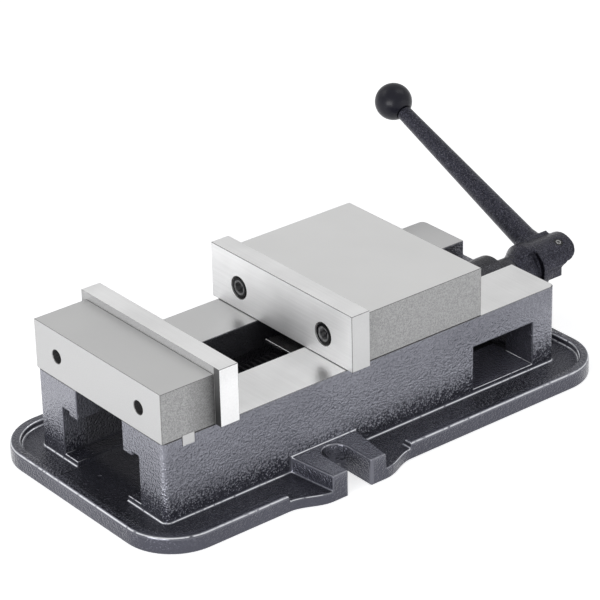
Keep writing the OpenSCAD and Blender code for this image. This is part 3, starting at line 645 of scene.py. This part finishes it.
# %% [markdown]
# The crank and the bearing housing are cast and only blackened, so the sand shows: a rough grain with small
# bright sparks, which are painted glints, and lighter edges, partly rubbed and partly a painted highlight.
# The knob is pressed plastic with a soft gloss.

# %% Cast iron and knob
def make_cast(name, dark, light, roughness, cells, depth, metallic):
    mat, tree, shader, place = start_finish(name, light, roughness, metallic)
    skin = effect(tree, "pebble", place, Cells_per_metre=cells, Grit=0.5)
    tone = two_colours(tree, spread(tree, skin["Height"], 0.2, 0.9), dark, light)
    # Lighter edges, partly wear and partly painted highlight, and painted glints in the grain.
    worn_and_lit = product(tree, effect(tree, "edges", place, From=0.53, To=0.62)["Mask"], 0.4)
    painted_glints = product(tree, spread(tree, noise_at(tree, place, 1500.0, 1), 0.62, 0.7), 0.4)
    tone = two_colours(tree, math_node(tree, "MAXIMUM", worn_and_lit, painted_glints), tone, (0.34, 0.34, 0.38))
    colour_by(tree, shader, tone)
    raise_by(tree, shader, skin["Height"], depth)
    return mat


crank_cast = make_cast("crank_cast", (0.018, 0.018, 0.028), (0.075, 0.075, 0.103), 0.29, 750.0, 0.0004, 0.7)
housing_cast = make_cast("housing_cast", (0.022, 0.022, 0.027), (0.056, 0.056, 0.065), 0.34, 700.0, 0.0002,
                         0.6)


def make_knob_plastic():
    mat, tree, shader, place = start_finish("knob_plastic", (0.014, 0.014, 0.018), 0.36,
                                            Specular_IOR_Level=0.22, Coat_Weight=0.04, Coat_Roughness=0.1)
    ripple = noise_at(tree, place, 60.0, 2)
    colour_by(tree, shader, two_colours(tree, ripple, (0.009, 0.009, 0.015), (0.017, 0.017, 0.026)))
    raise_by(tree, shader, noise_at(tree, place, 240.0, 2), 0.0002)
    return mat


knob_plastic = make_knob_plastic()
print("finishes:", len(bpy.data.materials))

# %% [markdown]
# Most pieces start from a working copy of their CAD node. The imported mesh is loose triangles, so the copy
# is merged, flat triangles are joined to whole faces, and every corner then gets an edge weight: how wide
# its rounding is. One Bevel modifier rounds all of them at once, so widths meet cleanly where they differ.
# Cutting the roundings into the mesh by hand would fix them for good, while the modifier can be changed
# later. A true casting or a machined block never has a knife edge, and the thin bright lines in the
# photograph are these roundings.

# %% Working copies
def cad_copy(node):
    bm = bmesh.new()
    bm.from_mesh(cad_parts[node].data)
    bmesh.ops.scale(bm, vec=(1 / METRE,) * 3, verts=bm.verts)
    bmesh.ops.remove_doubles(bm, verts=bm.verts, dist=0.003)
    bmesh.ops.dissolve_limit(bm, angle_limit=radians(0.3), verts=bm.verts, edges=bm.edges)
    return bm


def weigh_edges(bm, width_of, widest, least_turn=25):
    layer = bm.edges.layers.float.get("bevel_weight_edge") or bm.edges.layers.float.new("bevel_weight_edge")
    marked = 0
    for edge in bm.edges:
        if len(edge.link_faces) == 2 and edge.calc_face_angle(0) > radians(least_turn):
            middle = (edge.verts[0].co + edge.verts[1].co) / 2
            edge[layer] = min(1, width_of(edge, middle) / widest)
            marked += 1
    return marked


def finish_piece(bm, name, body, finishes, stands_for=(), round_mm=0, segments=3, edge_finish=-1):
    bmesh.ops.scale(bm, vec=(METRE,) * 3, verts=bm.verts)
    mesh = bpy.data.meshes.new(name)
    for face in bm.faces:
        face.smooth = True
    bm.to_mesh(mesh)
    bm.free()
    piece = bpy.data.objects.new(name, mesh)
    scene.collection.objects.link(piece)
    for finish in finishes:
        mesh.materials.append(finish)
    if round_mm:
        rounding = piece.modifiers.new("rounding", "BEVEL")
        rounding.limit_method = "WEIGHT"
        rounding.width = round_mm * METRE
        rounding.segments = segments
        rounding.use_clamp_overlap = False
        rounding.material = edge_finish
        shading = piece.modifiers.new("flat_faces_stay_flat", "WEIGHTED_NORMAL")
        shading.keep_sharp = False
        cut = piece.modifiers.new("well_shaped_triangles", "TRIANGULATE")
        cut.min_vertices = 5
        cut.ngon_method = "BEAUTY"
        cut.keep_custom_normals = True
    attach(piece, body)
    if stands_for:
        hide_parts(*stands_for)
    print("%s: %d faces" % (name, len(mesh.polygons)))
    return piece


def facing(face, axis, least=0.95):
    return face.normal["XYZ".index(axis[1])] * (1 if axis[0] == "+" else -1) > least


def near(value, target, within=0.4):
    return abs(value - target) < within

# %% [markdown]
# The base is one iron casting: a flange with a drip trough, a bed with two ways, and a lug with an open
# slot at each side. Its walls lean a little, so that the pattern came out of the sand, and every inner
# corner has a fillet. How wide each rounding is follows from where its edge lies, so one function names the
# place and a table holds the widths. Where a lug meets the flange, arcs leave thin tips, and a rounding
# would draw points out of them, so they are closed first. The ways are ground bright after painting, so the
# faces at their height get the ground finish.

# %% Base casting
LUG_END_Y, LUG_END_X, LUG_ROOT, SLOT_HALF = 114, 24, 35, 10
DRAIN_EDGE, DRAIN_HALF, LEDGE, CHANNEL_WALL = 8.25, 31, (46, 58), 46
WIDTHS = {"drain": 0.12, "way": 0.5, "underside": 0.8, "ledge": 0.3, "foot of bed": 1.7, "foot of lug": 1.2,
          "trough": 1.8, "lug corner": 1.5, "hollow": 1.0, "rim": 2.2, "lug top": 1.6, "slot mouth": 2.4,
          "lug side": 1.2, "outer trough": 1.2, "plain": 0.8}


def base_place(edge, middle):
    x, y, z = middle
    by_lug = abs(x) < LUG_ROOT
    if near(z, DRAIN_EDGE, 0.35) and abs(y) < DRAIN_HALF and x < BED_X[1] - 5:
        return "drain"
    if z > BED_TOP - 0.5:
        return "way"
    if z < 0.5:
        return "underside"
    if LEDGE[0] < z < LEDGE[1] and abs(y) < CHANNEL_WALL and x > BED_X[0] + 1:
        return "ledge"
    if not edge.is_convex:
        return hollow_place(x, y, z, by_lug)
    if near(z, RIM):
        return "rim"
    if near(z, LUG_TOP):
        return "lug top"
    if near(abs(x), SLOT_HALF, 0.3) and near(abs(y), LUG_END_Y, 0.3):
        return "slot mouth"
    if by_lug and abs(y) > BED_Y + 2 and z > TROUGH:
        return "lug side"
    return "outer trough" if near(z, TROUGH) and abs(y) > 100 else "plain"


def hollow_place(x, y, z, by_lug):
    if near(z, TROUGH):
        at_wall = near(abs(y), BED_Y, 5) or near(x, BED_X[0], 5) or near(x, BED_X[1], 5)
        if at_wall and abs(y) < BED_Y + 6 and BED_X[0] - 1 < x < BED_X[1] + 1:
            return "foot of bed"
        return "foot of lug" if by_lug else "trough"
    return "lug corner" if by_lug and abs(y) > BED_Y - 1 else "hollow"


def close_thin_tips(bm):
    tips = (((54.4, 104.8), (54.5, 104.5)), ((58.0, 104.5), (54.5, 104.5)),
            ((25.4, LUG_END_Y), (LUG_END_X, LUG_END_Y)), ((LUG_END_X, LUG_END_Y), (LUG_END_X, LUG_END_Y)))
    moved = 0
    for edge in list(bm.edges):
        top, foot = sorted((v.co for v in edge.verts), key=lambda co: -co.z)
        upright = top.z > LUG_TOP - 0.1 and foot.z < 0.1
        if upright and near(abs(top.x), LUG_END_X, 0.1) and near(abs(top.y), LUG_END_Y, 0.1):
            start = edge.verts[0]
            share = (start.co.z - TROUGH) / (start.co.z - edge.other_vert(start).co.z)
            bmesh.utils.edge_split(edge, start, share)
    for vert in bm.verts:
        for spot, target in tips:
            at_spot = near(abs(vert.co.x), spot[0], 0.15) and near(abs(vert.co.y), spot[1], 0.15)
            if at_spot and vert.co.z < TROUGH + 0.1:
                vert.co.x = target[0] if vert.co.x > 0 else -target[0]
                vert.co.y = target[1] if vert.co.y > 0 else -target[1]
                moved += 1
    bmesh.ops.remove_doubles(bm, verts=bm.verts, dist=0.01)
    return moved


def way_faces(bm):
    return [f for f in bm.faces if facing(f, "+Z") and f.calc_center_median().z > BED_TOP - 0.2]


def make_base(end_strip=10):
    bm = cad_copy("base_casting")
    print("base: thin tips closed", close_thin_tips(bm))
    for cut in (BED_X[0] + end_strip, BED_X[1] - end_strip):
        tops = way_faces(bm)
        geom = tops + list({e for f in tops for e in f.edges}) + list({v for f in tops for v in f.verts})
        bmesh.ops.bisect_plane(bm, geom=geom, dist=0.001, plane_co=(cut, 0, 0), plane_no=(1, 0, 0))
    for face in way_faces(bm):
        face.material_index = 1
    widest = max(WIDTHS.values())
    marked = weigh_edges(bm, lambda edge, middle: WIDTHS[base_place(edge, middle)], widest)
    print("base: rounded edges", marked)
    finish_piece(bm, "base", "base", [paint, ground_way, rounding_paint_and_highlight], ["base_casting"], widest,
                 segments=5, edge_finish=2)


make_base()

# %% [markdown]
# The jaws are plain blocks, so their finish matters most. A jaw's top is ground, its end and its long sides
# are blasted, and the screw holes that run through to its end are painted dark, as shade. A plate is ground
# too, but its back has a finish of its own, its holes are black as painted shade, its top takes a lit copy
# of the ground finish, and the moving plate's ends a shaded copy, painted darker. A small chamfer goes round
# everything. It is wider on a jaw where it meets its plate and where it stands on the ways, so that the
# joints show as lines, and hardly there on the plate's own edge at the joint.

# %% Jaws
SCREW_HOLE_R, SHORT_EDGE = 8.4, 5


def block_faces(bm, side, end, inside, back, top, back_axis):
    for face in bm.faces:
        x, y, z = face.calc_center_median()
        from_screw = (abs(y) - PLATE_SCREW_Y) ** 2 + (z - PLATE_SCREW_Z) ** 2
        if from_screw < SCREW_HOLE_R ** 2 and abs(face.normal.x) < 0.1:
            face.material_index = inside
        elif facing(face, "+Y") or facing(face, "-Y"):
            face.material_index = side
        elif facing(face, back_axis):
            face.material_index = back
        elif facing(face, "-X") or facing(face, "+X"):
            face.material_index = end
        elif facing(face, "+Z"):
            face.material_index = top


def block_edges(joint_x, outer, hole, joint):
    def width(edge, middle):
        if edge.calc_length() < SHORT_EDGE:
            return hole
        if middle.z < BED_TOP + 1.5 and joint > outer:
            return 2 * outer
        return joint if near(middle.x, joint_x, 0.2) else outer
    return width


JAW_SIDES, JAW_WIDTHS = (1, 2, 3, 4, 2, 0), (0.4, 0.5, 0.8)
# A plate's holes take black oxide as painted shade; the moving plate's ends take the shaded copy and the tops
# the lit copy of the ground finish.
PLATE_SIDES, PLATE_WIDTHS = (0, 0, 1, 2, 3, 4), (0.35, 0.5, 0.12)


def make_block(node, body, finishes, joint_x, back_axis, sides=JAW_SIDES, widths=JAW_WIDTHS,
               slot="ground_iron"):
    side, end, inside, edges, back, top = sides
    bm = cad_copy(node)
    block_faces(bm, side, end, inside, back, top, back_axis)
    weigh_edges(bm, block_edges(joint_x, *widths), max(widths))
    finish_piece(bm, node + "_finished", body, finishes, [node], max(widths), 2, edges)


FIXED_SIDE, MOVING_SIDE = ("base", -93, "-X"), ("sliding_jaw", 38.5, "+X")
PLATE_FINISHES = [ground_plate, black_oxide, broken_edge, plate_back, plate_top]
BLOCKS = (("fixed_jaw", FIXED_SIDE, [fixed_top, blasted_fixed, blasted_end, shaded_bore, broken_edge]),
          ("moving_jaw", MOVING_SIDE, [moving_top, blasted_side, blasted_end, shaded_bore, broken_edge]),
          ("fixed_jaw_plate", FIXED_SIDE, PLATE_FINISHES, PLATE_SIDES, PLATE_WIDTHS, "ground_steel"),
          ("moving_jaw_plate", MOVING_SIDE, PLATE_FINISHES + [plate_end], (5, *PLATE_SIDES[1:]), PLATE_WIDTHS,
           "ground_steel"),
          ("fixed_jaw_keys", FIXED_SIDE, [blasted_end], (0,) * 6, (0.3,) * 3, "ground_steel"))
for node, (body, joint_x, back_axis), finishes, *rest in BLOCKS:
    make_block(node, body, finishes, joint_x, back_axis, *rest)

# %% [markdown]
# Socket screws are small, but their black hexagons are the darkest marks on the bright plates. Each keeps
# its CAD shape and gets a rounded rim and a broken edge at the socket. The other small pieces, such as nut,
# guard, housing and collar, are treated alike. They differ only in their finish and in the width of the
# rounding, so one table names them all.

# %% Screws and small hardware
def make_hardware(node, body, finish, slot, width, segments=2, least_turn=30):
    bm = cad_copy(node)
    weigh_edges(bm, lambda edge, middle: width, width, least_turn)
    finish_piece(bm, node + "_finished", body, [finish], [node], width, segments)


HARDWARE = (("fixed_plate_screws", "base", socket_screw, "black_screws", 0.6),
            ("moving_plate_screws", "sliding_jaw", socket_screw, "black_screws", 0.6),
            ("fixed_jaw_bolts", "base", black_oxide, "black_screws", 0.7),
            ("housing_screws", "base", black_oxide, "black_screws", 0.4),
            ("guard_screws", "sliding_jaw", black_oxide, "black_screws", 0.3),
            ("jaw_set_screw", "sliding_jaw", black_oxide, "black_screws", 0.4),
            ("screw_guard", "sliding_jaw", bright_sheet, "guard_steel", 0.3),
            ("jaw_nut", "sliding_jaw", nut_iron, "nut_iron", 0.8),
            ("bearing_housing", "base", housing_cast, "housing_iron", 0.5),
            ("locking_collar", "screw", housing_cast, "housing_iron", 0.4))
for row in HARDWARE:
    make_hardware(*row)

# %% [markdown]
# The lead screw is the one piece whose CAD solid is plainer than the real one: its thread is a smooth bar
# there. A thread is a profile that turns and moves along at once, so one pitch after another of a slanted
# groove is laid out along the axis and spun once round with a shift of one pitch. Both ends are cut square
# and closed. The cut leaves slivers where the groove runs out, and a rounding would draw points out of
# them, so the edges there get none. Shoulder and journal are one outline spun round, and the hexagon is a
# circle of six points, extruded.

# %% Lead screw
PITCH, CREST, GROOVE = 5.0, 12, 2.3
CREST_FLAT, ROOT_START, ROOT_END = 1.7, 2.4, 4.3
THREAD_END, SHOULDER_END, JOURNAL_END = 184, 192, 245.5
CORE_R, SHOULDER_R, JOURNAL_R, HALF_FLAT = 11, 17, 10, 8.5
THREAD_ROUNDING, SCREW_ROUNDING = 0.25, 0.5
CRANK_TURN = 22.8


def spin_outline(bm, points, axis, steps, **extra):
    verts = [bm.verts.new(point) for point in points]
    edges = [bm.edges.new(pair) for pair in zip(verts, verts[1:])]
    bmesh.ops.spin(bm, geom=verts + edges, cent=(0, 0, 0), axis=axis, angle=2 * pi, steps=steps, **extra)


def threaded_bar(x0, x1, steps=36):
    bm = bmesh.new()
    profile = []
    for i in range(int((x1 - x0) / PITCH) + 3):
        start, root = x0 - PITCH * 1.5 + i * PITCH, CREST - GROOVE
        profile += [(start, 0, CREST), (start + CREST_FLAT, 0, CREST),
                    (start + ROOT_START, 0, root), (start + ROOT_END, 0, root)]
    spin_outline(bm, profile, (1, 0, 0), steps, dvec=(-PITCH / steps, 0, 0))
    bmesh.ops.remove_doubles(bm, verts=bm.verts, dist=0.002)
    for place, away in ((x0, -1), (x1, 1)):
        geom = list(bm.verts) + list(bm.edges) + list(bm.faces)
        bmesh.ops.bisect_plane(bm, geom=geom, dist=0.0005, plane_co=(place, 0, 0), plane_no=(away, 0, 0),
                               clear_outer=True)
        rim = [e for e in bm.edges if e.is_boundary and all(near(v.co.x, place, 0.01) for v in e.verts)]
        bmesh.ops.contextual_create(bm, geom=rim)
    return bm


def add_shoulder(bm):
    overlap = THREAD_END - 2
    outline = [(overlap, 0, 0), (overlap, 0, CORE_R),
               (THREAD_END, 0, SHOULDER_R), (SHOULDER_END, 0, SHOULDER_R),
               (SHOULDER_END, 0, JOURNAL_R), (JOURNAL_END, 0, JOURNAL_R), (JOURNAL_END, 0, 0)]
    spin_outline(bm, outline, (1, 0, 0), 48, use_merge=True)


def add_hexagon(bm, end, chamfer=1.2, shrink=0.88, clearance=0.02, sunk=0.8):
    radius = HALF_FLAT / cos(pi / 6) - clearance
    corners = bmesh.ops.create_circle(bm, cap_ends=True, radius=radius, segments=6)["verts"]
    turn = Matrix.Rotation(radians(CRANK_TURN - 30), 4, "X") @ Matrix.Rotation(radians(90), 4, "Y")
    bmesh.ops.transform(bm, matrix=Matrix.Translation((JOURNAL_END - sunk, 0, 0)) @ turn, verts=corners)
    cap = list({f for v in corners for f in v.link_faces})
    for x, share in ((end - chamfer, 1.0), (end, shrink)):
        extruded = bmesh.ops.extrude_face_region(bm, geom=cap)["geom"]
        cap = [g for g in extruded if isinstance(g, bmesh.types.BMFace)]
        for vert in (g for g in extruded if isinstance(g, bmesh.types.BMVert)):
            vert.co = (x, vert.co.y * share, vert.co.z * share)


def screw_rounding(start):
    def width(edge, middle):
        from_axis = middle.y ** 2 + (middle.z - AXIS_Z) ** 2
        if middle.x < THREAD_END + 0.1 and from_axis < (CREST + 1) ** 2:
            return THREAD_ROUNDING if start + 2 < middle.x < THREAD_END - 3 else 0
        return SCREW_ROUNDING
    return width


def make_lead_screw():
    low, high = (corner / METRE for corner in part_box("lead_screw"))
    bm = threaded_bar(low.x, THREAD_END)
    print("lead screw: thread faces", len(bm.faces))
    add_shoulder(bm)
    add_hexagon(bm, high.x)
    bmesh.ops.remove_doubles(bm, verts=bm.verts, dist=0.002)
    bmesh.ops.recalc_face_normals(bm, faces=bm.faces)
    bmesh.ops.translate(bm, vec=(0, 0, AXIS_Z), verts=bm.verts)
    weigh_edges(bm, screw_rounding(low.x), SCREW_ROUNDING, 28)
    finish_piece(bm, "lead_screw_cut", "screw", [greased_shaded_screw], ["lead_screw"], SCREW_ROUNDING,
                 segments=2)


make_lead_screw()

# %% [markdown]
# The crank is a sand casting: hub, neck, web, boss and arm flow into each other. Separate solids never do
# that, so its CAD shape and a blending cone at the arm's root go through a voxel remesh, which makes one
# skin of them all, and a smoothing that rounds every corner a little. The real one looks just as soft.

# %% Crank
ARM_X, VOXEL = 283.26, 0.6
ARM_TURN = Matrix.Translation((ARM_X, 0, AXIS_Z)) @ Matrix.Rotation(radians(CRANK_TURN - 90), 4, "X")


def cone_on_arm(bm, start, stop, wide, narrow, segments=32):
    cone = bmesh.ops.create_cone(bm, cap_ends=True, segments=segments, radius1=wide, radius2=narrow,
                                 depth=stop - start)
    middle = Matrix.Translation((0, 0, (start + stop) / 2))
    bmesh.ops.transform(bm, matrix=ARM_TURN @ middle, verts=cone["verts"])


def make_crank():
    bm = cad_copy("handle")
    cone_on_arm(bm, start=12, stop=26, wide=12.0, narrow=9.6)
    bmesh.ops.triangulate(bm, faces=bm.faces)
    piece = finish_piece(bm, "crank", "crank", [crank_cast], ["handle"])
    skin = piece.modifiers.new("one_skin", "REMESH")
    skin.mode = "VOXEL"
    skin.voxel_size = VOXEL * METRE
    skin.use_smooth_shade = True
    soft = piece.modifiers.new("soft_corners", "SMOOTH")
    soft.factor = 0.5
    soft.iterations = 3


make_crank()

# %% [markdown]
# The knob is a pressed ball with a short collar where the arm enters. Its outline is drawn once, from the
# collar's rim to the pole, and spun round the arm. The plunger's sleeve and plug sit in the crank's hub,
# and are small turned pieces like the hardware above.

# %% Knob and plunger
def make_knob(reach=195, radius=15, collar=6.9, collar_end=-13.5, chamfer=(0.5, 0.3), step=7.5):
    bm = bmesh.new()
    outline = [(collar - chamfer[0], 0, collar_end + chamfer[1]), (collar, 0, collar_end)]
    for i in range(4, 24):
        a = radians(180 - i * step)
        outline.append((radius * sin(a), 0, radius * cos(a)))
    outline.append((0, 0, radius))
    spin_outline(bm, outline, (0, 0, 1), 64, use_merge=True)
    bmesh.ops.remove_doubles(bm, verts=bm.verts, dist=0.002)
    bmesh.ops.contextual_create(bm, geom=[e for e in bm.edges if e.is_boundary])
    bmesh.ops.recalc_face_normals(bm, faces=bm.faces)
    bmesh.ops.transform(bm, matrix=ARM_TURN @ Matrix.Translation((0, 0, reach)), verts=bm.verts)
    finish_piece(bm, "knob", "crank", [knob_plastic], ["ball_knob"])


make_knob()
make_hardware("plunger_sleeve", "crank", black_oxide, "screw_steel", 0.3)
make_hardware("plunger_plug", "crank", oiled_steel, "bearing_steel", 0.3)

# %% [markdown]
# What stays as the CAD drew it are the pieces that nobody sees without taking the vise apart: the half
# ball, the thrust bearing, the small set screw and the plunger's spring and ball. They get their finishes
# only.

# %% Finishes of the hidden pieces
HIDDEN = {"lock_half_ball": bright_steel, "rear_thrust_washer": bright_steel, "needle_cage": cage_brass,
          "thrust_needles": bright_steel, "front_thrust_washer": bright_steel, "collar_set_screw": black_oxide,
          "plunger_spring": bright_steel, "plunger_ball": bright_steel}
for node, finish in HIDDEN.items():
    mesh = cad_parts[node].data
    mesh.materials.clear()
    mesh.materials.append(finish)
print("CAD nodes with finishes:", len(HIDDEN))
